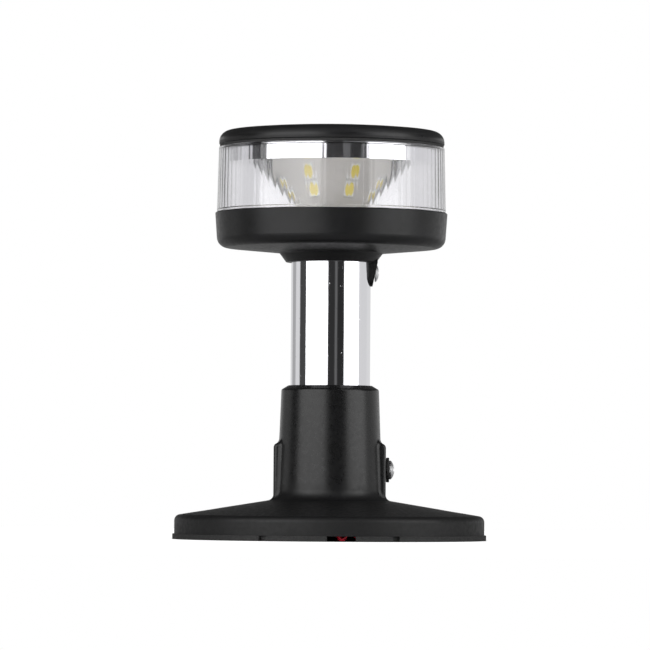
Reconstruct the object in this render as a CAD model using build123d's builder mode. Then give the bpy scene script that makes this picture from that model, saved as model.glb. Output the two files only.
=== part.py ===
"""A clamp-in pole navigation light: a domed deck base with a socket, a chrome pole and a lamp head.

Frame: millimetres, origin at the centre of the base's underside, +Z up, front towards -Y.
Both outside screws are on the +X side.
"""
import os
from math import cos, radians, sin, sqrt, tan

from build123d import *

os.makedirs("parts", exist_ok=True)

# ---------------------------------------------------------------- driving dimensions
pole_r = 12.7                 # one inch tube
pole_wall = 1.2
run_gap = 0.05                # radial running clearance of every sliding fit
pole_bottom_z = 14.2
pole_top_z = 98.5
pole_chamfer = 0.4

gasket_t = 1.7
gasket_r = 50.1
rim_r = 49.5
rim_inner_r = 46.0
gasket_inner_r = 43.5
dome_slope = 9.3              # degrees
dome_ref_r = 39.6             # the dome's face passes through this radius and height
dome_ref_z = 9.2
skin = 3.0                    # wall of the base moulding
rim_round = 2.0

socket_foot_r = 16.9
socket_top_r = 15.6
socket_shoulder_z = 47.9
socket_top_z = 49.2
socket_mouth_r = 13.4
mouth_chamfer = 0.4
shoulder_round = 0.8
foot_round = 3.6
socket_floor_z = 14.0
floor_hole_r = 8.5
pocket_r = 12.6
pocket_z = 11.0
hollow_top_z = 9.0
hollow_flat_r = 19.9           # the hollow's roof is flat out to here

pole_seal_z = 42.6
pole_seal_h = 2.0
pole_seal_r = 14.2

lug_x = 17.9
lug_half_w = 6.0
lug_top_z = 30.8
lug_foot_round = 2.0
lug_foot_limit_z = 16.0       # the lugs' curved foot edges all lie below this
lug_gap = 1.6                 # wall left between a lug's inner face and the bore
lug_sink = 1.5                # how far the lugs start below the dome's face
lug_top_round = 1.5
lug_edge_round = 1.0
clamp_z = 22.4                # height of the pole clamp screw
clamp_shank_r = 2.0
insert_r = 3.2
insert_depth = 3.9
washer_r = 3.95
washer_t = 1.0
washer_gap = 0.1
screw_head_r = 3.0
screw_head_t = 1.6
screw_rim_t = 0.5
screw_tip_gap = 0.1           # the tip stops this short of the pole
tip_chamfer = 0.8
screw_slot_w = 0.8
screw_slot_l = 3.6
screw_slot_depth = 1.0

rib_bottom_z = 3.2
rib_start_r = 13.6
rib_end_r = 39.5
rib_t = 1.6

mount_x = 39.0                # deck screw holes on the X axis
mount_hole_r = 2.6
mount_head_r = 4.7
mount_head_z = 5.4
boss_r = 6.2
boss_land = 1.0               # boss left above the screw head's seat

pin_x = 5.0                   # the two contacts, either side of the pole's axis
pin_r = 1.2
pin_round = 0.9
pin_tip_z = 6.8
pin_top_z = 27.0
plug_top_z = 24.0
sleeve_r = 2.2
sleeve_bottom_z = 5.8
block_r = 8.4
block_bottom_z = 2.6
block_top_z = 13.8
block_screw_y = 10.4
block_screw_top_z = 12.8
block_head_r = 1.75
block_head_t = 1.4
small_shank_r = 1.0
clearance_r = 1.2              # hole that a small screw drops through
sleeve_top_z = 13.4
flange_r = 12.4
flange_bottom_z = 8.0
barrel_z = 4.5
barrel_r = 1.6
barrel_front_y = -10.0
barrel_back_y = 1.2
lead_r = 0.8
joint_r = 1.0                 # soldered end of each pole lead
joint_h = 0.6
lead_start_y = -5.0

notch_x = 3.7                 # middle of the lead-out slot in the gasket
notch_w = 9.0
drain_angle = 24.6            # drain slots, each side of the front
drain_w = 2.4
drain_depth = 3.0

splice_r = 1.65
splice_reach = 9.3            # from the lead's end to the splice's open mouth
splice_grip = 2.6             # how far each splice reaches back over its lead
splice_bore_r = 0.9
splice_stop = 3.0             # solid middle between the lead and the open bore
splice_chamfer = 0.35

clip_x = 0.9
clip_y = -17.0
clip_top_z = 3.0
clip_t = 1.0
clip_l = 13.5
clip_w = 2.6
clip_boss_r = 2.4
clip_eye_r = 2.8
clip_head_r = 2.1
clip_head_t = 0.9
clip_screw_l = 5.2
pilot_r = 0.9                  # hole that a small screw cuts its thread in

neck_z = 88.6
neck_r = 14.4
neck_root_r = 16.6
neck_root_z = 91.6
neck_root_round = 1.2
head_corner_r = 36.4
head_corner_z = 93.4
head_corner_round = 3.4
lip_r = 37.15
lip_z = 104.4
cavity_r = 33.2
cavity_floor_z = 95.2
cavity_chamfer = 1.4
lip_step = 0.6                # the lip's inner edge stands lower by this
tower_roof_z = 98.7           # underside of the tower's roof, just over the pole
tower_r = 15.2                # the boss inside the head that holds the pole's end
tower_top_z = 101.4           # the lamp board rests on it
groove_in_r = 34.3
groove_out_r = 35.7
groove_z = 102.2
lower_seal_h = 0.9
neck_seal_z = 92.6
neck_seal_h = 1.8
neck_seal_r = 13.9

tongue_top_z = 91.0
tongue_tip_z = 81.0
tongue_half_w = 3.6
tongue_root_x = 14.9
tongue_end_x = 13.3
tongue_tip_round = 3.2
head_screw_z = 85.4
head_screw_shank_r = 1.6
head_screw_seat = 1.3         # seat's height over the pole's surface
head_screw_r = 2.95
head_screw_t = 1.3
head_screw_rim_t = 0.35
head_screw_end = 1.0          # how far it reaches inside the tube
head_screw_taper = 0.8
head_slot_w = 0.7
head_slot_l = 3.2
head_slot_depth = 0.8

driver_board_z = 96.6
driver_board_in_r = 16.4
driver_board_out_r = 31.0
driver_board_t = 1.4
board_screw_at_r = 28.0
board_screw_l = 1.3
board_head_r = 1.8
board_head_t = 1.1
board_post_r = 2.4
link_pin_x = 18.6
link_pin_gap = 2.54
link_pin_w = 0.64
led_board_z = 101.4
led_board_r = 33.0
board_t = 1.6
led_size = 5.0
led_h = 1.5
dish_foot_r = 2.1
dish_r = 2.3
dish_depth = 0.4
led_rows = (16.9, 22.7)       # radii of the two rings of lamps
led_count = 6
led_first_angle = 0.0         # so that a pair stands 30 degrees each side of the front

cone_foot_r = 10.5
cone_foot_z = 105.0
cone_top_z = 120.0
cone_skin = 1.4
band_r = 33.0
band_top_z = 127.0

lens_bottom_z = lip_z
lens_top_z = 125.3
lens_bottom_r = 36.65
lens_top_r = 36.1
lens_in_r = 34.9              # at the crests between flutes
flute_count = 86
flute_r = 5.0                 # each flute is a shallow hollow of this radius
flute_bottom_r = 35.1
flute_land = 0.8              # plain band above and below the flutes

upper_seal_r = 35.8
seal_in_r = 34.9
cap_bottom_z = 126.1
cap_r = 36.05
cap_top_z = 132.2
cap_edge_z = 130.2
cap_round = 3.5
cap_skin = 2.2
cap_land_r = 33.25            # inner edge of the face that seats on the seal
cap_land_h = 0.8
cap_hollow_r = 30.85
cap_hollow_z = 128.3
cap_chamfer = 0.3
post_r = 3.9
tie_r = 2.0
tie_hole_r = 2.1
tie_head_r = 3.6
tie_head_t = 2.4
tie_screw_top_z = 110.7
tie_insert_z = 103.5
tie_insert_top_z = 113.0
tie_insert_r = 2.9
tie_top_z = 114.0

on_foot = (Align.CENTER, Align.CENTER, Align.MIN)   # a solid stands up from its place
under = (Align.CENTER, Align.CENTER, Align.MAX)     # a solid hangs down from its place
through = 20.0                                      # long enough to cut right through

pole_in_r = pole_r - pole_wall
bore_r = pole_r + run_gap
small_round = 0.5
edge_round = 0.35
led_top_z = led_board_z + board_t
driver_top_z = driver_board_z + driver_board_t


def dome_z(radius):
    """Height of the base's conical top face at a radius."""
    return dome_ref_z + (dome_ref_r - radius) * tan(radians(dome_slope))


def nearest(shapes, x, y):
    """The sketch corner nearest to a point of the sketch's plane."""
    return shapes.sort_by_distance((x, y, 0))[0]


def save(part, name):
    """Labels one finished piece and writes it under its own name."""
    part.label = name
    export_step(part, f"parts/{name}.step")


def cross_recess(length=2.2, width=0.5, depth=0.6):
    """Cuts a cross recess into a small screw's head, at the places in force."""
    Box(length, width, 2 * depth, mode=Mode.SUBTRACT)
    Box(width, length, 2 * depth, mode=Mode.SUBTRACT)


# ---------------------------------------------------------------- deck base
with BuildPart() as base:
    # Half section: rim, shallow dome, socket tube, floor and the hollow underneath.
    with BuildSketch(Plane.XZ) as section:
        with BuildLine():
            Polyline(
                (rim_inner_r, gasket_t),
                (rim_r, gasket_t),
                (rim_r, dome_z(rim_r)),
                (socket_foot_r, dome_z(socket_foot_r)),
                (socket_top_r, socket_shoulder_z),
                (socket_mouth_r, socket_top_z),
                (bore_r, socket_top_z - mouth_chamfer),
                (bore_r, socket_floor_z),
                (floor_hole_r, socket_floor_z),
                (floor_hole_r, pocket_z),
                (pocket_r, pocket_z),
                (pocket_r, hollow_top_z),
                (hollow_flat_r, hollow_top_z),
                (rim_inner_r, dome_z(rim_inner_r) - skin),
                close=True,
            )
        make_face()
        fillet(nearest(section.vertices(), rim_r, dome_z(rim_r)), rim_round)
        fillet(nearest(section.vertices(), socket_foot_r, dome_z(socket_foot_r)), foot_round)
        fillet(nearest(section.vertices(), socket_top_r, socket_shoulder_z), shoulder_round)
    revolve(axis=Axis.Z)

    # A rectangular lug stands against the socket on each side.
    with BuildSketch(Plane.XY.offset(dome_z(lug_x) - lug_sink)):
        for side in (-1, 1):
            with Locations((side * (bore_r + lug_gap + lug_x) / 2, 0)):
                Rectangle(lug_x - bore_r - lug_gap, 2 * lug_half_w)
    extrude(amount=lug_top_z - dome_z(lug_x) + lug_sink)
    lug_tops = base.edges().filter_by(Axis.Y).filter_by_position(Axis.Z, lug_top_z - 0.01, lug_top_z + 0.01)
    fillet(lug_tops.filter_by(lambda e: abs(abs(e.center().X) - lug_x) < 0.01), lug_top_round)
    lug_posts = base.edges().filter_by(Axis.Z).filter_by(lambda e: abs(abs(e.center().X) - lug_x) < 0.01)
    fillet(lug_posts, lug_edge_round)
    lug_feet = base.edges().filter_by(GeomType.BSPLINE).filter_by(lambda e: e.center().Z < lug_foot_limit_z)
    fillet(lug_feet, lug_foot_round)

    # Bosses under the dome take the two deck screws.
    with BuildSketch(Plane.XY.offset(gasket_t)):
        with Locations((-mount_x, 0), (mount_x, 0)):
            Circle(boss_r)
    extrude(amount=mount_head_z + boss_land - gasket_t)
    # Four ribs stiffen the dome's underside.
    with BuildSketch(Plane.XY.offset(rib_bottom_z)):
        with PolarLocations((rib_start_r + rib_end_r) / 2, 4, start_angle=45):
            Rectangle(rib_end_r - rib_start_r, rib_t)
    extrude(amount=hollow_top_z + 0.1 - rib_bottom_z)
    # Boss for the lead clip's screw.
    with BuildSketch(Plane.XY.offset(clip_top_z)):
        with Locations((clip_x, clip_y)):
            Circle(clip_boss_r)
    extrude(amount=hollow_top_z - clip_top_z)

    with Locations((-mount_x, 0, mount_head_z), (mount_x, 0, mount_head_z)):
        Cylinder(mount_hole_r, through, mode=Mode.SUBTRACT)
        Cylinder(mount_head_r, through, align=on_foot, mode=Mode.SUBTRACT)
    # Clamp screw: a pocket for the threaded insert, then a way through to the pole.
    with BuildSketch(Plane.YZ.offset(lug_x - insert_depth)):
        with Locations((0, clamp_z)):
            Circle(insert_r)
    extrude(amount=insert_depth + 1, mode=Mode.SUBTRACT)
    with BuildSketch(Plane.YZ.offset(bore_r - 1)):
        with Locations((0, clamp_z)):
            Circle(clamp_shank_r + 2 * run_gap)
    extrude(amount=lug_x - bore_r, mode=Mode.SUBTRACT)
    # Groove for the pole seal, and pilot holes for the small screws underneath.
    with BuildSketch(Plane.XY.offset(pole_seal_z)):
        Circle(pole_seal_r)
    extrude(amount=pole_seal_h, mode=Mode.SUBTRACT)
    pilot_top_z = block_screw_top_z + run_gap
    with Locations((0, block_screw_y, pilot_top_z), (0, -block_screw_y, pilot_top_z)):
        Cylinder(small_shank_r, block_screw_top_z - flange_bottom_z, align=under, mode=Mode.SUBTRACT)
    with Locations((clip_x, clip_y, clip_top_z)):
        Cylinder(pilot_r, clip_screw_l, align=on_foot, mode=Mode.SUBTRACT)
save(base.part, "base")

# ---------------------------------------------------------------- gasket and pole seal
with BuildPart() as base_gasket:
    # Flat foam ring with a slot for the leads at the front and two drain slots beside it.
    with BuildSketch(Plane.XY):
        Circle(gasket_r)
        Circle(gasket_inner_r, mode=Mode.SUBTRACT)
        with Locations((notch_x, -gasket_r)):
            Rectangle(notch_w, through, mode=Mode.SUBTRACT)
        with PolarLocations(gasket_r, 2, -90 - drain_angle, 2 * drain_angle, endpoint=True):
            Rectangle(drain_depth, drain_w, mode=Mode.SUBTRACT)
    extrude(amount=gasket_t)
save(base_gasket.part, "base_gasket")

with BuildPart() as socket_seal:
    with BuildSketch(Plane.XY.offset(pole_seal_z)):
        Circle(pole_seal_r)
        Circle(bore_r, mode=Mode.SUBTRACT)
    extrude(amount=pole_seal_h)
save(socket_seal.part, "socket_seal")

# ---------------------------------------------------------------- contacts under the socket
with BuildPart() as contact_sleeves:
    # Each sleeve is a brass tube with a crimp barrel for the lead across its closed foot.
    for side in (-1, 1):
        with Locations((side * pin_x, 0, sleeve_bottom_z)):
            Cylinder(sleeve_r, sleeve_top_z - sleeve_bottom_z, align=on_foot)
    for side in (-1, 1):
        with Locations((side * pin_x, (barrel_front_y + barrel_back_y) / 2, barrel_z)):
            Cylinder(barrel_r, barrel_back_y - barrel_front_y, rotation=(90, 0, 0))
    with BuildSketch(Plane.XY.offset(pin_tip_z - run_gap)):
        with Locations((-pin_x, 0), (pin_x, 0)):
            Circle(pin_r + run_gap)
    extrude(amount=through, mode=Mode.SUBTRACT)
    with BuildSketch(Plane.XZ.offset(-lead_start_y)):
        with Locations((-pin_x, barrel_z), (pin_x, barrel_z)):
            Circle(lead_r)
    extrude(amount=through, mode=Mode.SUBTRACT)
save(contact_sleeves.part, "contact_sleeves")

with BuildPart() as contact_block:
    # Moulded block: a round plug through the socket floor, with a flange screwed up under it.
    with Locations((0, 0, block_bottom_z)):
        Cylinder(block_r, block_top_z - block_bottom_z, align=on_foot)
    with Locations((0, 0, flange_bottom_z)):
        Cylinder(flange_r, pocket_z - flange_bottom_z, align=on_foot)
    with Locations((0, block_screw_y, flange_bottom_z), (0, -block_screw_y, flange_bottom_z)):
        Cylinder(clearance_r, through, mode=Mode.SUBTRACT)
    fillet(contact_block.edges().group_by(Axis.Z)[0], small_round)
    for side in (-1, 1):
        with Locations((side * pin_x, 0, sleeve_bottom_z)):
            Cylinder(sleeve_r, through, align=on_foot, mode=Mode.SUBTRACT)
        with Locations((side * pin_x, (barrel_front_y + barrel_back_y) / 2, barrel_z)):
            Cylinder(barrel_r, barrel_back_y - barrel_front_y, rotation=(90, 0, 0), mode=Mode.SUBTRACT)
save(contact_block.part, "contact_block")

with BuildPart() as contact_block_screws:
    for side in (-1, 1):
        with Locations((0, side * block_screw_y, flange_bottom_z)):
            Cylinder(block_head_r, block_head_t, align=under)
            Cylinder(small_shank_r, block_screw_top_z - flange_bottom_z, align=on_foot)
    fillet(contact_block_screws.edges().group_by(Axis.Z)[0], small_round)
    block_head_z = flange_bottom_z - block_head_t
    with Locations((0, block_screw_y, block_head_z), (0, -block_screw_y, block_head_z)):
        cross_recess()
save(contact_block_screws.part, "contact_block_screws")

# ---------------------------------------------------------------- supply leads
red_route = [(-5.0, -5.0, 4.5), (-5.0, -12.5, 4.5), (-3.2, -20.5, 3.6), (1.0, -28.2, 1.8), (2.4, -35.8, 1.8)]
black_route = [(5.0, -5.0, 4.5), (5.0, -12.5, 4.5), (6.2, -19.5, 3.7), (7.6, -25.8, 1.8), (8.2, -31.0, 1.8)]


def corner_radii(route):
    """For each corner, 0.45 of its shorter run over the tangent of half the turn."""
    radii = []
    points = [Vector(*p) for p in route]
    for before, corner, after in zip(points, points[1:], points[2:]):
        run_in = corner - before
        run_out = after - corner
        turn = run_in.get_angle(run_out)
        radii.append(0.45 * min(run_in.length, run_out.length) / tan(radians(turn / 2)))
    return radii


def lead_path(route):
    """Straight runs joined by tangent arcs."""
    return FilletPolyline(*route, radius=corner_radii(route))


print("lead radii", [round(r, 1) for r in corner_radii(red_route) + corner_radii(black_route)])

with BuildPart() as red_lead:
    with BuildLine() as red_line:
        lead_path(red_route)
    with BuildSketch(Plane(origin=red_route[0], z_dir=red_line.line % 0)):
        Circle(lead_r)
    sweep()
save(red_lead.part, "red_lead")

with BuildPart() as black_lead:
    with BuildLine() as black_line:
        lead_path(black_route)
    with BuildSketch(Plane(origin=black_route[0], z_dir=black_line.line % 0)):
        Circle(lead_r)
    sweep()
save(black_lead.part, "black_lead")

# Each lead ends in a crimped butt splice, whose open end takes the boat's own wire.
for name, route in (("red_splice", red_route), ("black_splice", black_route)):
    crimp = Vector(*route[-1])
    outward = (crimp - Vector(*route[-2])).normalized()
    mouth = Plane(origin=crimp + outward * splice_reach, z_dir=-outward)
    with BuildPart() as splice:
        with BuildSketch(mouth):
            Circle(splice_r)
        extrude(amount=splice_reach + splice_grip)
        chamfer(splice.edges().filter_by(GeomType.CIRCLE), splice_chamfer)
        with BuildSketch(mouth):
            Circle(splice_bore_r)
        extrude(amount=splice_reach - splice_stop, mode=Mode.SUBTRACT)
        with BuildSketch(Plane(origin=crimp, z_dir=-outward)):
            Circle(lead_r)
        extrude(amount=through, mode=Mode.SUBTRACT)
    save(splice.part, name)

with BuildPart() as lead_clip:
    # A saddle across both leads, screwed up to its boss.
    with BuildSketch(Plane.XY.offset(clip_top_z - clip_t)):
        with Locations((clip_x, clip_y)):
            SlotOverall(clip_l, clip_w)
            Circle(clip_eye_r)
            Circle(clearance_r, mode=Mode.SUBTRACT)
    extrude(amount=clip_t)
save(lead_clip.part, "lead_clip")

with BuildPart() as lead_clip_screw:
    with Locations((clip_x, clip_y, clip_top_z - clip_t)):
        Cylinder(clip_head_r, clip_head_t, align=under)
        Cylinder(pilot_r, clip_screw_l, align=on_foot)
    fillet(lead_clip_screw.edges().group_by(Axis.Z)[0], small_round)
    with Locations((clip_x, clip_y, clip_top_z - clip_t - clip_head_t)):
        cross_recess()
save(lead_clip_screw.part, "lead_clip_screw")

# ---------------------------------------------------------------- pole clamp screw on +X
with BuildPart() as screw_insert:
    with BuildSketch(Plane.YZ.offset(lug_x - insert_depth)):
        with Locations((0, clamp_z)):
            Circle(insert_r)
            Circle(clamp_shank_r + run_gap, mode=Mode.SUBTRACT)
    extrude(amount=insert_depth - 0.1)
save(screw_insert.part, "screw_insert")

with BuildPart() as clamp_washer:
    with BuildSketch(Plane.YZ.offset(lug_x + washer_gap)):
        with Locations((0, clamp_z)):
            Circle(washer_r)
            Circle(clamp_shank_r + run_gap, mode=Mode.SUBTRACT)
    extrude(amount=washer_t)
    outer_edges = clamp_washer.edges().filter_by(GeomType.CIRCLE).filter_by(lambda e: e.radius > insert_r)
    fillet(outer_edges, washer_t / 4)
save(clamp_washer.part, "clamp_washer")

with BuildPart() as clamp_screw:
    # Domed head, revolved with its shank about the screw's own axis.
    tip_x = pole_r + screw_tip_gap
    head_x = lug_x + washer_gap + washer_t + run_gap
    with BuildSketch(Plane.XZ) as screw_half:
        with BuildLine():
            Polyline(
                (tip_x, clamp_z),
                (tip_x, clamp_z + clamp_shank_r - tip_chamfer),
                (tip_x + tip_chamfer, clamp_z + clamp_shank_r),
                (head_x, clamp_z + clamp_shank_r),
                (head_x, clamp_z + screw_head_r),
                (head_x + screw_rim_t, clamp_z + screw_head_r),
            )
            ThreePointArc(
                (head_x + screw_rim_t, clamp_z + screw_head_r),
                (head_x + 0.78 * screw_head_t, clamp_z + 0.62 * screw_head_r),
                (head_x + screw_head_t, clamp_z),
            )
            Line((head_x + screw_head_t, clamp_z), (tip_x, clamp_z))
        make_face()
    revolve(axis=Axis((0, 0, clamp_z), (1, 0, 0)))
    with Locations((head_x + screw_head_t, 0, clamp_z)):
        Box(2 * screw_slot_depth, screw_slot_w, screw_slot_l, mode=Mode.SUBTRACT)
        Box(2 * screw_slot_depth, screw_slot_l, screw_slot_w, mode=Mode.SUBTRACT)
save(clamp_screw.part, "clamp_screw")

# ---------------------------------------------------------------- pole and what it carries inside
with BuildPart() as pole:
    with BuildSketch(Plane.XY.offset(pole_bottom_z)):
        Circle(pole_r)
        Circle(pole_in_r, mode=Mode.SUBTRACT)
    extrude(amount=pole_top_z - pole_bottom_z)
    rims = pole.edges().filter_by(GeomType.CIRCLE)
    chamfer(rims.filter_by(lambda e: e.radius > pole_r - 0.01), pole_chamfer)
    with BuildSketch(Plane.YZ.offset(pole_in_r - pole_wall)):
        with Locations((0, head_screw_z)):
            Circle(head_screw_shank_r)
    extrude(amount=through, mode=Mode.SUBTRACT)
save(pole.part, "pole")

with BuildPart() as pole_plug:
    # Moulded plug pressed into the tube's foot; it carries the two pins.
    with BuildSketch(Plane.XY.offset(pole_bottom_z)):
        Circle(pole_in_r)
        with Locations((-pin_x, 0), (pin_x, 0)):
            Circle(pin_r, mode=Mode.SUBTRACT)
    extrude(amount=plug_top_z - pole_bottom_z)
save(pole_plug.part, "pole_plug")

with BuildPart() as contact_pins:
    for side in (-1, 1):
        with Locations((side * pin_x, 0, pin_tip_z)):
            Cylinder(pin_r, pin_top_z - pin_tip_z, align=on_foot)
    fillet(contact_pins.edges().group_by(Axis.Z)[0], pin_round)
save(contact_pins.part, "contact_pins")

# The pair of leads up the pole, one side red and the other black.
for side, name in ((-1, "pole_lead_red"), (1, "pole_lead_black")):
    with BuildPart() as pole_lead:
        with Locations((side * pin_x, 0, pin_top_z)):
            Cylinder(lead_r, led_top_z - pin_top_z, align=on_foot)
        with Locations((side * pin_x, 0, led_top_z)):
            Cone(joint_r, joint_r / 2, joint_h, align=on_foot)
    save(pole_lead.part, name)

# ---------------------------------------------------------------- lamp head: housing
post_spots = PolarLocations(board_screw_at_r, 3, start_angle=30)

with BuildPart() as head_housing:
    with BuildSketch(Plane.XZ) as head_section:
        with BuildLine():
            Polyline(
                (pole_r, neck_z),
                (neck_r, neck_z),
                (neck_root_r, neck_root_z),
                (head_corner_r, head_corner_z),
                (lip_r, lip_z),
                (groove_out_r, lip_z),
                (groove_out_r, groove_z),
                (groove_in_r, groove_z),
                (groove_in_r, lip_z - lip_step),
                (cavity_r, lip_z - lip_step),
                (cavity_r, cavity_floor_z + cavity_chamfer),
                (cavity_r - cavity_chamfer, cavity_floor_z),
                (tower_r, cavity_floor_z),
                (tower_r, tower_top_z),
                (tie_hole_r, tower_top_z),
                (tie_hole_r, tower_roof_z),
                (pole_r, tower_roof_z),
                (pole_r, neck_seal_z + neck_seal_h),
                (neck_seal_r, neck_seal_z + neck_seal_h),
                (neck_seal_r, neck_seal_z),
                (pole_r, neck_seal_z),
                close=True,
            )
        make_face()
        fillet(nearest(head_section.vertices(), head_corner_r, head_corner_z), head_corner_round)
        fillet(nearest(head_section.vertices(), neck_root_r, neck_root_z), neck_root_round)
        fillet(nearest(head_section.vertices(), neck_r, neck_z), edge_round)
        fillet(nearest(head_section.vertices(), lip_r, lip_z), edge_round)
    revolve(axis=Axis.Z)

    # The tongue hangs from the neck down the pole's +X side and tapers towards its tip.
    tongue_profile = Plane.XZ.offset(-tongue_half_w)
    with BuildSketch(tongue_profile):
        with BuildLine():
            Polyline(
                (pole_in_r, tongue_top_z),
                (tongue_root_x, tongue_top_z),
                (tongue_root_x, neck_z),
                (tongue_end_x, tongue_tip_z),
                (pole_in_r, tongue_tip_z),
                close=True,
            )
        make_face()
    extrude(amount=2 * tongue_half_w)
    tongue_foot = head_housing.edges().filter_by(Axis.X).group_by(Axis.Z)[0]
    fillet(tongue_foot, tongue_tip_round)
    with BuildSketch(Plane.XY.offset(tongue_tip_z)):
        Circle(pole_r)
    extrude(amount=tongue_top_z - tongue_tip_z, mode=Mode.SUBTRACT)
    with BuildSketch(Plane.YZ.offset(pole_in_r)):
        with Locations((0, head_screw_z)):
            Circle(head_screw_shank_r)
    extrude(amount=tongue_root_x - pole_in_r, mode=Mode.SUBTRACT)
    # Flat seat for the screw's head.
    with BuildSketch(Plane.YZ.offset(pole_r + head_screw_seat)):
        with Locations((0, head_screw_z)):
            Circle(head_screw_r + 0.2)
    extrude(amount=tongue_root_x - pole_r, mode=Mode.SUBTRACT)

    # Ways for the leads through the tower's top, and posts under the two boards.
    with Locations((-pin_x, 0, tower_top_z), (pin_x, 0, tower_top_z)):
        Cylinder(joint_r, 2 * (tower_top_z - tower_roof_z), mode=Mode.SUBTRACT)
    with BuildSketch(Plane.XY.offset(cavity_floor_z - cavity_chamfer / 2)):
        with post_spots:
            Circle(board_post_r)
    extrude(amount=driver_board_z - cavity_floor_z + cavity_chamfer / 2)
save(head_housing.part, "head_housing")

with BuildPart() as neck_seal:
    with BuildSketch(Plane.XY.offset(neck_seal_z)):
        Circle(neck_seal_r)
        Circle(pole_r, mode=Mode.SUBTRACT)
    extrude(amount=neck_seal_h)
save(neck_seal.part, "neck_seal")

with BuildPart() as head_screw:
    # Pan head on the tongue, threaded into the pole's wall.
    seat_x = pole_r + head_screw_seat
    end_x = pole_in_r - head_screw_end
    with BuildSketch(Plane.XZ) as head_screw_half:
        with BuildLine():
            Polyline(
                (end_x, head_screw_z),
                (end_x, head_screw_z + head_screw_shank_r - head_screw_taper),
                (end_x + head_screw_taper, head_screw_z + head_screw_shank_r),
                (seat_x, head_screw_z + head_screw_shank_r),
                (seat_x, head_screw_z + head_screw_r),
                (seat_x + head_screw_rim_t, head_screw_z + head_screw_r),
            )
            ThreePointArc(
                (seat_x + head_screw_rim_t, head_screw_z + head_screw_r),
                (seat_x + 0.8 * head_screw_t, head_screw_z + 0.62 * head_screw_r),
                (seat_x + head_screw_t, head_screw_z),
            )
            Line((seat_x + head_screw_t, head_screw_z), (end_x, head_screw_z))
        make_face()
    revolve(axis=Axis((0, 0, head_screw_z), (1, 0, 0)))
    with Locations((seat_x + head_screw_t, 0, head_screw_z)):
        Box(2 * head_slot_depth, head_slot_w, head_slot_l, mode=Mode.SUBTRACT)
        Box(2 * head_slot_depth, head_slot_l, head_slot_w, mode=Mode.SUBTRACT)
save(head_screw.part, "head_screw")

# ---------------------------------------------------------------- lamp head: electronics
with BuildPart() as driver_board:
    with BuildSketch(Plane.XY.offset(driver_board_z)):
        Circle(driver_board_out_r)
        Circle(driver_board_in_r, mode=Mode.SUBTRACT)
        with post_spots:
            Circle(pilot_r, mode=Mode.SUBTRACT)
    extrude(amount=driver_board_t)
save(driver_board.part, "driver_board")

with BuildPart() as driver_board_screws:
    for spot in post_spots:
        with Locations(spot):
            with Locations((0, 0, driver_top_z)):
                Cylinder(board_head_r, board_head_t, align=on_foot)
                Cylinder(pilot_r, board_screw_l, align=under)
    head_tops = [Location(spot.position + Vector(0, 0, driver_top_z + board_head_t)) for spot in post_spots]
    with Locations(*head_tops):
        cross_recess(depth=0.4)
save(driver_board_screws.part, "driver_board_screws")


def on_driver(radius, angle):
    """A spot on the driver board's top face, turned to face outwards."""
    return Plane.XY.offset(driver_top_z).location * Rot(0, 0, angle) * Pos(radius, 0, 0)


with BuildPart() as driver_parts:
    # Choke, two flat capacitors, a diode bridge, the driver chip and small chips between them.
    with Locations(on_driver(24, 90)):
        Box(7, 7, 3.0, align=on_foot)
    with Locations(on_driver(24, 60), on_driver(24, 120)):
        Cylinder(2.6, 2.8, align=on_foot)
    with Locations(on_driver(23, 190)):
        Box(4.4, 6.4, 2.2, align=on_foot)
    with Locations(on_driver(23, 230)):
        Box(4, 5, 1.5, align=on_foot)
    with Locations(*[on_driver(21, angle) for angle in (250, 262, 286, 298, 310)]):
        Box(1.2, 2.0, 0.6, align=on_foot)
    with Locations(*[on_driver(27, angle) for angle in (250, 290, 330, 350)]):
        Box(1.6, 2.6, 1.0, align=on_foot)
save(driver_parts.part, "driver_parts")

with BuildPart() as board_link_pins:
    with BuildSketch(Plane.XY.offset(driver_top_z)):
        with Locations((link_pin_x, -link_pin_gap / 2), (link_pin_x, link_pin_gap / 2)):
            Rectangle(link_pin_w, link_pin_w)
    extrude(amount=led_board_z - driver_top_z)
save(board_link_pins.part, "board_link_pins")

with BuildPart() as led_board:
    with BuildSketch(Plane.XY.offset(led_board_z)):
        Circle(led_board_r)
        Circle(tie_hole_r, mode=Mode.SUBTRACT)
        with Locations((-pin_x, 0), (pin_x, 0)):
            Circle(lead_r, mode=Mode.SUBTRACT)
    extrude(amount=board_t)
save(led_board.part, "led_board")

led_spots = [
    Location((radius * cos(radians(angle)), radius * sin(radians(angle)), led_top_z), (0, 0, angle))
    for radius in led_rows
    for angle in [led_first_angle + 360 / led_count * i for i in range(led_count)]
]

with BuildPart() as led_packages:
    # White five millimetre lamps with a shallow round dish.
    with Locations(*led_spots):
        Box(led_size, led_size, led_h, align=on_foot)
    with Locations(*[spot * Pos(0, 0, led_h) for spot in led_spots]):
        Cone(dish_foot_r, dish_r, dish_depth, align=under, mode=Mode.SUBTRACT)
save(led_packages.part, "led_packages")

with BuildPart() as led_phosphors:
    with Locations(*[spot * Pos(0, 0, led_h - dish_depth) for spot in led_spots]):
        Cone(dish_foot_r, (dish_foot_r + dish_r) / 2, dish_depth / 2, align=on_foot)
save(led_phosphors.part, "led_phosphors")

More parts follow.
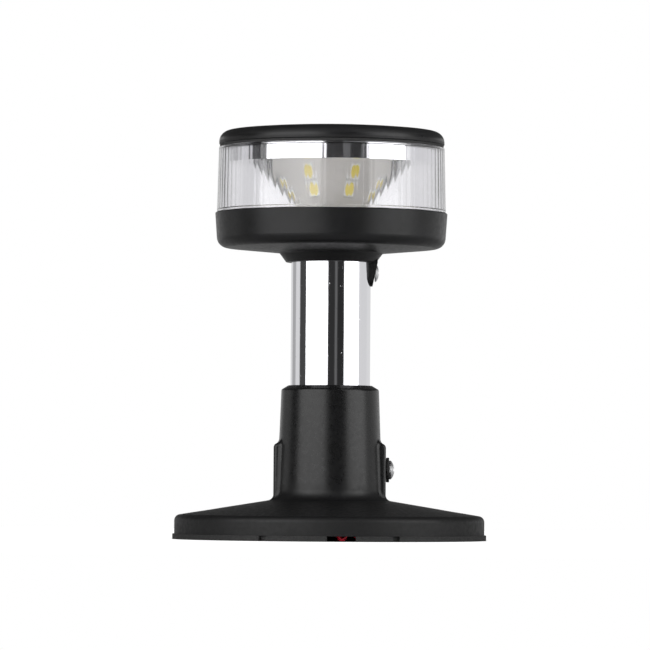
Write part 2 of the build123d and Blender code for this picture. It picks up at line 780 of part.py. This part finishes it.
# ---------------------------------------------------------------- lamp head: optics
with BuildPart() as reflector:
    # A mirror cone opening upwards at 45 degrees, a flat ledge, and a mirror band outside.
    cone_top_r = cone_foot_r + cone_top_z - cone_foot_z
    cone_back = cone_skin * sqrt(2)
    with BuildSketch(Plane.XZ):
        with BuildLine():
            Polyline(
                (post_r, cone_foot_z),
                (cone_foot_r, cone_foot_z),
                (cone_top_r, cone_top_z),
                (band_r, cone_top_z),
                (band_r, band_top_z),
                (band_r - cone_skin, band_top_z),
                (band_r - cone_skin, cone_top_z + cone_skin),
                (cone_top_r - cone_back + cone_skin, cone_top_z + cone_skin),
                (cone_foot_r - cone_back + cone_skin, cone_foot_z + cone_skin),
                (post_r, cone_foot_z + cone_skin),
                close=True,
            )
        make_face()
    revolve(axis=Axis.Z)
save(reflector.part, "reflector")

with BuildPart() as lower_lens_seal:
    with BuildSketch(Plane.XY.offset(groove_z)):
        Circle(groove_out_r)
        Circle(groove_in_r, mode=Mode.SUBTRACT)
    extrude(amount=lower_seal_h)
save(lower_lens_seal.part, "lower_lens_seal")

with BuildPart() as lens:
    # Slightly tapered clear ring with a tongue in the housing's groove and a stepped top.
    with BuildSketch(Plane.XZ):
        with BuildLine():
            Polyline(
                (groove_in_r + run_gap, groove_z + lower_seal_h),
                (groove_out_r - run_gap, groove_z + lower_seal_h),
                (groove_out_r - run_gap, lens_bottom_z),
                (lens_bottom_r, lens_bottom_z),
                (lens_top_r, lens_top_z),
                (lens_in_r, lens_top_z),
                (lens_in_r, lens_bottom_z),
                (groove_in_r + run_gap, lens_bottom_z - lip_step + run_gap),
                close=True,
            )
        make_face()
    revolve(axis=Axis.Z)
    # Vertical flutes all round the inside spread the beam.
    with BuildSketch(Plane.XY.offset(lens_bottom_z + flute_land)):
        with PolarLocations(flute_bottom_r - flute_r, flute_count):
            Circle(flute_r)
    extrude(amount=lens_top_z - lens_bottom_z - 2 * flute_land, mode=Mode.SUBTRACT)
save(lens.part, "lens")

with BuildPart() as upper_lens_seal:
    with BuildSketch(Plane.XY.offset(lens_top_z)):
        Circle(upper_seal_r)
        Circle(seal_in_r, mode=Mode.SUBTRACT)
    extrude(amount=cap_bottom_z - lens_top_z)
save(upper_lens_seal.part, "upper_lens_seal")

# ---------------------------------------------------------------- lamp head: cap and its tie screw
with BuildPart() as top_cap:
    # Shallow dome with a central post, hollow at its foot, that the tie screw pulls down on.
    with BuildSketch(Plane.XZ) as cap_section:
        with BuildLine():
            Polyline(
                (0, cap_top_z),
                (0, tie_top_z),
                (tie_insert_r, tie_top_z),
                (tie_insert_r, led_top_z),
                (post_r, led_top_z),
                (post_r, cap_top_z - cap_skin),
                (cap_hollow_r, cap_hollow_z),
                (cap_land_r, cap_bottom_z + cap_land_h),
                (cap_land_r, cap_bottom_z),
                (cap_r - cap_chamfer, cap_bottom_z),
                (cap_r, cap_bottom_z + cap_chamfer),
                (cap_r, cap_edge_z),
            )
            TangentArc((0, cap_top_z), (cap_r, cap_edge_z), tangent=(1, 0))
        make_face()
        fillet(nearest(cap_section.vertices(), cap_r, cap_edge_z), cap_round)
    revolve(axis=Axis.Z)
save(top_cap.part, "top_cap")

with BuildPart() as tie_insert:
    with BuildSketch(Plane.XY.offset(tie_insert_z)):
        Circle(tie_insert_r)
        Circle(tie_r, mode=Mode.SUBTRACT)
    extrude(amount=tie_insert_top_z - tie_insert_z)
save(tie_insert.part, "tie_insert")

with BuildPart() as tie_screw:
    with Locations((0, 0, tower_roof_z)):
        Cylinder(tie_head_r, tie_head_t, align=under)
        Cylinder(tie_r, tie_screw_top_z - tower_roof_z, align=on_foot)
    fillet(tie_screw.edges().group_by(Axis.Z)[0], small_round)
    with Locations((0, 0, tower_roof_z - tie_head_t)):
        cross_recess(length=4.0, width=0.9, depth=1.2)
save(tie_screw.part, "tie_screw")
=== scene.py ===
from math import cos, pi, radians, sin, sqrt

import bpy
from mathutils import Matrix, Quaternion, Vector

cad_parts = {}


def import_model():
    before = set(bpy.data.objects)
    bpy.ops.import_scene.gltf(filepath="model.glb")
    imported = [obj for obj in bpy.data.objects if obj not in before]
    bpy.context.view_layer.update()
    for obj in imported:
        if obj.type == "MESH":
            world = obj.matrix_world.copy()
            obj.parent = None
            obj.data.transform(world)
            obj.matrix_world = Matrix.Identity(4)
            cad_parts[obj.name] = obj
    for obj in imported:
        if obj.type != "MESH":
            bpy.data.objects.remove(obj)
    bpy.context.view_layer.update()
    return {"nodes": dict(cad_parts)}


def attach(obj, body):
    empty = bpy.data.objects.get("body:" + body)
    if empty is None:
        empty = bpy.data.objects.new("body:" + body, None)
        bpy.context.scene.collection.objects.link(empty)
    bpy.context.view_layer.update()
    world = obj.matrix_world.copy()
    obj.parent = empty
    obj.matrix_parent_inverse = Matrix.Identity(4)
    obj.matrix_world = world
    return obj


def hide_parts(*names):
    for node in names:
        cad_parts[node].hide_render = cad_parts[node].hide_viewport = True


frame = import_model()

nodes = frame["nodes"]
scene = bpy.context.scene
scene.view_settings.view_transform = "Standard"
MM = 0.001


# ---------------------------------------------------------------- material helpers
class Shader:
    """One material: its principled shader, and short calls that add and join nodes."""

    def __init__(self, name):
        self.material = bpy.data.materials.new(name)
        self.material.use_nodes = True
        self.tree = self.material.node_tree
        self.body = self.tree.nodes["Principled BSDF"]
        self.place = self.tree.nodes.new("ShaderNodeTexCoord").outputs["Object"]

    def set(self, **values):
        for key, value in values.items():
            self.body.inputs[key.replace("_", " ")].default_value = value

    def node(self, kind, **values):
        made = self.tree.nodes.new("ShaderNode" + kind)
        for key, value in values.items():
            name = key.replace("_", " ")
            if name in made.inputs:
                made.inputs[name].default_value = value
            else:
                setattr(made, key, value)
        return made

    def join(self, source, target):
        self.tree.links.new(source, target)

    def stretched(self, x, y, z):
        """Object coordinates stretched along each axis."""
        mapping = self.node("Mapping")
        mapping.inputs["Scale"].default_value = (x, y, z)
        self.join(self.place, mapping.inputs["Vector"])
        return mapping.outputs["Vector"]

    def noise(self, scale, detail=3.0, rough=0.55, vector=None):
        made = self.node("TexNoise", Scale=scale, Detail=detail, Roughness=rough)
        self.join(vector or self.place, made.inputs["Vector"])
        return made.outputs["Fac"]

    def cells(self, scale, feature="F1"):
        made = self.node("TexVoronoi", feature=feature, Scale=scale)
        self.join(self.place, made.inputs["Vector"])
        return made.outputs["Distance"]

    def between(self, value, low, high, out_low=0.0, out_high=1.0):
        made = self.node("MapRange")
        made.inputs["From Min"].default_value = low
        made.inputs["From Max"].default_value = high
        made.inputs["To Min"].default_value = out_low
        made.inputs["To Max"].default_value = out_high
        self.join(value, made.inputs["Value"])
        return made.outputs["Result"]

    def math(self, operation, a, b):
        made = self.node("Math", operation=operation)
        for slot, value in enumerate((a, b)):
            if isinstance(value, (int, float)):
                made.inputs[slot].default_value = value
            else:
                self.join(value, made.inputs[slot])
        return made.outputs[0]

    def by_height(self, stops):
        """A value that changes with height, from a list of heights in millimetres and values."""
        parts = self.node("SeparateXYZ")
        self.join(self.place, parts.inputs[0])
        low, high = stops[0][0], stops[-1][0]
        ramp = self.node("ValToRGB")
        self.join(self.between(parts.outputs["Z"], low * MM, high * MM), ramp.inputs["Fac"])
        fill_ramp(ramp, [((z - low) / (high - low), (value,) * 3) for z, value in stops])
        return ramp.outputs["Color"]

    def tint(self, factor, *colours):
        """Colours in turn, by a factor, on the base colour."""
        ramp = self.node("ValToRGB")
        last = len(colours) - 1
        fill_ramp(ramp, [(i / last, colour) for i, colour in enumerate(colours)])
        self.join(factor, ramp.inputs["Fac"])
        self.join(ramp.outputs["Color"], self.body.inputs["Base Color"])

    def rough(self, value):
        self.join(value, self.body.inputs["Roughness"])

    def bump(self, height, distance_mm, strength=1.0):
        """Adds a bump on top of any there already."""
        made = self.node("Bump", Strength=strength, Distance=distance_mm * MM)
        self.join(height, made.inputs["Height"])
        linked = self.body.inputs["Normal"].links
        if linked:
            self.join(linked[0].from_socket, made.inputs["Normal"])
        self.join(made.outputs["Normal"], self.body.inputs["Normal"])


def fill_ramp(ramp, stops):
    """Gives a colour ramp its stops, each a position and a colour."""
    elements = ramp.color_ramp.elements
    while len(elements) > 1:
        elements.remove(elements[-1])
    elements[0].position = stops[0][0]
    elements[0].color = (*stops[0][1], 1)
    for position, colour in stops[1:]:
        elements.new(position).color = (*colour, 1)


def paint(node, shader):
    """Gives a carried-over CAD node its finished material."""
    mesh = nodes[node].data
    mesh.materials.clear()
    mesh.materials.append(shader.material)


# ---------------------------------------------------------------- materials
def moulded_black(name, base=0.010, roughness=0.33, heights=None, shine=0.4):
    """Black glass-filled plastic: fine spark-eroded grain, faint flow lines and scuffs."""
    s = Shader(name)
    s.set(IOR=1.5, Specular_IOR_Level=shine)
    flow = s.noise(90, 4)
    s.tint(s.between(flow, 0.3, 0.75), (base * 0.8,) * 3, (base * 1.15, base * 1.15, base * 1.3))
    mottle = s.between(s.noise(700, 4, 0.65), 0.3, 0.7, 0.85, 1.2)
    s.rough(s.math("MULTIPLY", mottle, s.by_height(heights) if heights else roughness))
    s.bump(s.noise(2800, 2), 0.02, 0.5)
    s.bump(s.noise(140, 2), 0.05, 0.3)
    return s


def chrome_tube():
    """Bright chrome with pin-point pits and faint lengthwise polishing."""
    s = Shader("chrome_tube")
    s.set(Base_Color=(0.9, 0.9, 0.93, 1), Metallic=1.0)
    haze = s.noise(60, 5, 0.6)
    s.rough(s.between(haze, 0.3, 0.75, 0.03, 0.08))
    pits = s.between(s.cells(900), 0.0, 0.16, 1.0, 0.0)
    rare = s.between(s.noise(420, 2), 0.52, 0.6)
    s.bump(s.math("MULTIPLY", pits, rare), 0.03, 0.8)
    s.bump(s.noise(1, 4, 0.65, s.stretched(1400, 1400, 90)), 0.012, 0.5)
    return s


def mirror_coat():
    """Vacuum-metallised plastic: almost a perfect mirror, with a little waviness."""
    s = Shader("mirror_coat")
    s.set(Base_Color=(0.94, 0.94, 0.95, 1), Metallic=1.0)
    s.rough(s.between(s.noise(200, 4), 0.3, 0.7, 0.04, 0.1))
    s.bump(s.noise(220, 2), 0.01, 0.4)
    return s


def clear_plastic():
    """Clear polycarbonate with a trace of violet, faintly frosted and a little wavy."""
    s = Shader("clear_plastic")
    s.set(Base_Color=(0.985, 0.982, 1.0, 1), Transmission_Weight=1.0, IOR=1.49)
    s.rough(s.between(s.noise(300, 4), 0.3, 0.7, 0.05, 0.1))
    s.bump(s.noise(160, 2), 0.003, 0.3)
    return s


def steel(name, colour=(0.9, 0.9, 0.92), roughness=0.14):
    """Turned metal with a fine brushed grain."""
    s = Shader(name)
    s.set(Metallic=1.0)
    s.tint(s.noise(300, 4), tuple(c * 0.88 for c in colour), colour)
    s.rough(s.between(s.noise(2500, 4), 0.3, 0.7, roughness - 0.05, roughness + 0.1))
    s.bump(s.noise(4000, 3), 0.003, 0.4)
    return s


def rubber(name, base=0.012, grain=5000):
    """Dull black rubber or closed-cell foam."""
    s = Shader(name)
    s.tint(s.noise(600, 4), (base * 0.7,) * 3, (base * 1.5,) * 3)
    s.rough(s.between(s.noise(1500, 3), 0.3, 0.7, 0.6, 0.8))
    s.bump(s.noise(grain, 3), 0.03, 0.5)
    s.bump(s.cells(grain / 3), 0.02, 0.3)
    return s


def plain(name, colour, roughness=0.45):
    """Moulded or extruded plastic, slightly uneven in colour and gloss."""
    s = Shader(name)
    s.tint(s.noise(900, 3), tuple(c * 0.88 for c in colour), tuple(min(1, c * 1.08) for c in colour))
    s.rough(s.between(s.noise(1800, 3), 0.3, 0.7, roughness - 0.06, roughness + 0.08))
    s.bump(s.noise(2500, 3), 0.01, 0.3)
    return s


def circuit_board(name, mask, track, roughness=0.32):
    """Solder mask over raised copper tracks."""
    s = Shader(name)
    tracks = s.between(s.cells(260, "DISTANCE_TO_EDGE"), 0.05, 0.09)
    s.tint(tracks, track, mask)
    s.rough(s.between(s.noise(1500, 3), 0.3, 0.7, roughness - 0.05, roughness + 0.08))
    s.bump(s.math("SUBTRACT", 1.0, tracks), 0.01, 0.3)
    s.bump(s.noise(3000, 2), 0.004, 0.3)
    return s


def phosphor():
    """Grainy yellow phosphor in clear silicone, a little paler towards blotches."""
    s = Shader("phosphor")
    s.set(Coat_Weight=0.6, Coat_Roughness=0.12)
    s.tint(s.noise(3000, 4, 0.7), (0.88, 0.7, 0.1), (0.95, 0.82, 0.22))
    s.rough(s.between(s.noise(5000, 3), 0.3, 0.7, 0.35, 0.5))
    s.bump(s.noise(6000, 3), 0.01, 0.4)
    return s


# Roughness by height in millimetres: the rim and dome are matt, the socket's tube is smoother, and the cap
# has a smoother band above its foot.
base_gloss = [(0, 0.55), (13, 0.45), (18, 0.3), (50, 0.27)]
cap_gloss = [(127, 0.45), (127.3, 0.3), (127.9, 0.3), (128.3, 0.45), (132.5, 0.5)]
base_black = moulded_black("base_black", 0.0045, heights=base_gloss)
head_black = moulded_black("head_black", 0.007, 0.36, shine=0.33)
cap_black = moulded_black("cap_black", 0.008, heights=cap_gloss, shine=0.33)
rubber_black = rubber("rubber_black")
stainless = steel("stainless", (0.95, 0.95, 0.96), 0.3)
brass = steel("brass", (0.78, 0.58, 0.28), 0.25)
nylon = plain("grey_nylon", (0.3, 0.31, 0.32), 0.5)
red_pvc = plain("red_pvc", (0.6, 0.012, 0.03), 0.4)
red_nylon = plain("red_nylon", (0.85, 0.02, 0.05), 0.28)
black_pvc = plain("black_pvc", (0.015, 0.015, 0.016), 0.4)

finishes = {
    "base": base_black, "head_housing": head_black, "top_cap": cap_black,
    "base_gasket": rubber("foam_black", 0.012, 2600), "socket_seal": rubber_black,
    "clamp_washer": rubber_black, "neck_seal": rubber_black,
    "lower_lens_seal": rubber_black, "upper_lens_seal": rubber_black,
    "pole": chrome_tube(), "reflector": mirror_coat(),
    "clamp_screw": stainless, "head_screw": stainless, "contact_block_screws": stainless,
    "lead_clip_screw": stainless, "driver_board_screws": stainless, "tie_screw": stainless,
    "screw_insert": brass, "contact_sleeves": brass, "contact_pins": brass,
    "tie_insert": brass, "board_link_pins": brass,
    "contact_block": nylon, "pole_plug": nylon, "lead_clip": nylon,
    "red_splice": red_nylon, "black_splice": red_nylon,
    "red_lead": red_pvc, "pole_lead_red": red_pvc,
    "black_lead": black_pvc, "pole_lead_black": black_pvc,
    "driver_board": circuit_board("green_board", (0.012, 0.1, 0.04), (0.03, 0.2, 0.08)),
    "driver_parts": plain("chip_black", (0.02, 0.02, 0.02)),
    "led_board": circuit_board("white_board", (0.7, 0.68, 0.63), (0.67, 0.65, 0.6), 0.4),
    "led_packages": plain("led_body", (0.9, 0.9, 0.86), 0.35),
    "led_phosphors": phosphor(),
}
for name, finish in finishes.items():
    paint(name, finish)


# ---------------------------------------------------------------- the clear lens
def lathe(name, profile, columns, radius_shift):
    """A closed ring turned from a profile of radius, height and share of the shift by angle."""
    rows = len(profile)
    verts = []
    for i in range(columns):
        angle = 2 * pi * i / columns
        shift = radius_shift(angle)
        for radius, height, share in profile:
            r = (radius + share * shift) * MM
            verts.append((r * cos(angle), r * sin(angle), height * MM))
    faces = []
    for i in range(columns):
        here = i * rows
        there = (i + 1) % columns * rows
        for j in range(rows):
            k = (j + 1) % rows
            faces.append((here + j, there + j, there + k, here + k))
    mesh = bpy.data.meshes.new(name)
    mesh.from_pydata(verts, [], faces)
    piece = bpy.data.objects.new(name, mesh)
    scene.collection.objects.link(piece)
    mesh.polygons.foreach_set("use_smooth", [True] * len(mesh.polygons))
    corners = {j for j in range(rows) if turn_at(profile, j) > sharp_turn}
    for edge in mesh.edges:
        a, b = edge.vertices
        edge.use_edge_sharp = a % rows == b % rows and a % rows in corners
    return piece


def turn_at(profile, j):
    """How sharply a closed profile turns at one of its points, in radians, roughly."""
    (r0, z0, _), (r1, z1, _), (r2, z2, _) = (profile[j - 1], profile[j], profile[(j + 1) % len(profile)])
    run_in, run_out = Vector((r1 - r0, z1 - z0)), Vector((r2 - r1, z2 - z1))
    return run_in.angle(run_out)


# The lens's inside: its plain wall, and the flutes cut into it. Sizes in millimetres.
wall = 34.95
flutes = 86
flute_radius = 12.0
flute_bottom = 35.1
flute_centre = flute_bottom - flute_radius
steps_per_flute = 12
sharp_turn = 0.3


def flute_depth(angle):
    """How far the shallow hollow of the nearest flute goes past the wall."""
    pitch = 2 * pi / flutes
    off = (angle + pitch / 2) % pitch - pitch / 2
    return flute_centre * cos(off) + sqrt(flute_radius ** 2 - (flute_centre * sin(off)) ** 2) - wall


lens_foot, lens_top = 103.12, 125.28
spigot_in_r, spigot_out_r = 34.35, 35.65
shoulder = 104.42
# Radius, height and share of the flutes. The rows close to an edge keep the shading of the long walls level.
spigot = [(spigot_in_r, 103.9, 0), (spigot_in_r, lens_foot, 0), (spigot_out_r, lens_foot, 0),
          (spigot_out_r, shoulder, 0)]
outer_wall = [(36.55, shoulder, 0), (36.63, 104.55, 0), (36.61, 105.1, 0), (36.12, 124.7, 0),
              (36.1, 125.15, 0), (36.0, lens_top, 0)]
plain_top = [(wall, height, 0) for height in (lens_top, 124.75, 124.6)]
fluted_wall = [(wall, height, 1) for height in (124.5, 124.4, 105.4, 105.3)]
plain_foot = [(wall, height, 0) for height in (105.2, 105.05, 104.45)]
lens_profile = spigot + outer_wall + plain_top + fluted_wall + plain_foot
lens = lathe("fluted_lens", lens_profile, flutes * steps_per_flute, flute_depth)
lens.data.materials.append(clear_plastic().material)
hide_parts("lens")
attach(lens, "pole")


# ---------------------------------------------------------------- studio
def floor():
    """A small ground, white for the camera and duller for what the light reflects of it."""
    size = 0.3
    mesh = bpy.data.meshes.new("floor")
    corners = [(-size, -size, 0), (size, -size, 0), (size, size, 0), (-size, size, 0)]
    mesh.from_pydata(corners, [], [(0, 1, 2, 3)])
    plane = bpy.data.objects.new("floor", mesh)
    scene.collection.objects.link(plane)
    s = plain("floor_white", (0.5, 0.5, 0.5), 0.9)
    s.set(Emission_Color=(1, 1, 1, 1))
    reach = s.node("VectorMath", operation="LENGTH")
    s.join(s.place, reach.inputs[0])
    # Left dark under the base, whose slot would show it bright.
    under_base, past_base = 48 * MM, 51 * MM
    outside = s.between(reach.outputs["Value"], under_base, past_base, 0.0, 0.8)
    seen = s.node("LightPath").outputs["Is Camera Ray"]
    s.join(s.math("MULTIPLY", seen, outside), s.body.inputs["Emission Strength"])
    mesh.materials.append(s.material)


def world():
    """A studio tent: two bright soft panels in front with a dark gap between them, pale elsewhere."""
    w = bpy.data.worlds.new("studio")
    w.use_nodes = True
    scene.world = w
    tree = w.node_tree
    background = tree.nodes["Background"]

    def add(kind, operation=None):
        made = tree.nodes.new("ShaderNode" + kind)
        if operation:
            made.operation = operation
        return made

    def ramp_of(source, low, high, stops):
        span = add("MapRange")
        span.inputs["From Min"].default_value = low
        span.inputs["From Max"].default_value = high
        tree.links.new(source, span.inputs["Value"])
        ramp = add("ValToRGB")
        tree.links.new(span.outputs["Result"], ramp.inputs["Fac"])
        fill_ramp(ramp, [((at - low) / (high - low), (value,) * 3) for at, value in stops])
        return ramp.outputs["Color"]

    split = add("SeparateXYZ")
    tree.links.new(add("TexCoord").outputs["Generated"], split.inputs[0])
    towards = add("Math", "MULTIPLY")
    towards.inputs[1].default_value = -1
    tree.links.new(split.outputs["Y"], towards.inputs[0])
    around = add("Math", "ARCTAN2")
    tree.links.new(split.outputs["X"], around.inputs[0])
    tree.links.new(towards.outputs[0], around.inputs[1])
    azimuth = add("Math", "DEGREES")
    tree.links.new(around.outputs[0], azimuth.inputs[0])
    lift = add("Math", "ARCSINE")
    tree.links.new(split.outputs["Z"], lift.inputs[0])
    elevation = add("Math", "DEGREES")
    tree.links.new(lift.outputs[0], elevation.inputs[0])

    def joined(operation, first, second):
        made = add("VectorMath", operation)
        tree.links.new(first, made.inputs[0])
        tree.links.new(second, made.inputs[1])
        return made.outputs[0]

    # Azimuth in degrees from the front, positive to the right, and the brightness from there on.
    front = [(-180, 0), (-76, 2.6), (-9, 0.03), (12, 0.13), (19, 0.025), (40, 2.6), (88, 0)]
    back = [
        (-180, 0.72), (-145, 0.4), (-122, 0.7), (-101, 0.06),
        (-77, 0), (87, 0.7), (97, 0.68), (130, 0.72),
    ]
    soft = 1.3  # half the width of each zone's soft edge
    sides = []
    for zones in (front, back):
        stops = [zones[0]]
        for (start, level), (_, before) in zip(zones[1:], zones):
            stops += [(start - soft, before), (start + soft, level)]
        sides.append(ramp_of(azimuth.outputs[0], -180, 180, stops))
    # The front panels stand high; the back of the tent is bright only low down.
    front_height = [(-90, 0.1), (-12, 0.25), (-2, 1.0), (32, 1.0), (50, 0.2), (90, 0.1)]
    back_height = [(-90, 0.1), (-12, 0.4), (-3, 1.0), (7, 1.0), (14, 0.15), (90, 0.1)]
    tall = ramp_of(elevation.outputs[0], -90, 90, front_height)
    low = ramp_of(elevation.outputs[0], -90, 90, back_height)
    front_light = joined("MULTIPLY", sides[0], tall)
    back_light = joined("MULTIPLY", sides[1], low)
    tent = joined("ADD", front_light, back_light)
    # Light that has bounced off a dull face comes from a brighter room, as under the studio's fill lights.
    path = add("LightPath")
    dull = add("Math", "MINIMUM")
    dull.inputs[1].default_value = 1
    tree.links.new(path.outputs["Diffuse Depth"], dull.inputs[0])
    fill = add("Math", "ADD")
    fill.inputs[1].default_value = 1
    tree.links.new(dull.outputs[0], fill.inputs[0])
    bright = add("VectorMath", "SCALE")
    tree.links.new(tent, bright.inputs[0])
    tree.links.new(fill.outputs[0], bright.inputs["Scale"])
    final = add("Mix")
    final.data_type = "RGBA"
    final.inputs[7].default_value = (1, 1, 1, 1)
    tree.links.new(path.outputs["Is Camera Ray"], final.inputs[0])
    tree.links.new(bright.outputs[0], final.inputs[6])
    tree.links.new(final.outputs[2], background.inputs["Color"])


def camera():
    """In front, a little above the deck and aimed up at the middle of the light."""
    data = bpy.data.cameras.new("camera")
    cam = bpy.data.objects.new("camera", data)
    scene.collection.objects.link(cam)
    distance = 1.55
    width = 0.2077
    aside, height, aim_height = -0.0018, 0.020, 0.0686
    roll = 0.4
    data.sensor_width = 36
    data.lens = data.sensor_width * distance / width
    cam.location = (aside, -distance, height)
    target = Vector((aside, 0, aim_height))
    look = (target - cam.location).to_track_quat("-Z", "Y")
    cam.rotation_mode = "QUATERNION"
    cam.rotation_quaternion = look @ Quaternion((0, 0, 1), radians(roll))
    scene.camera = cam


floor()
world()
camera()
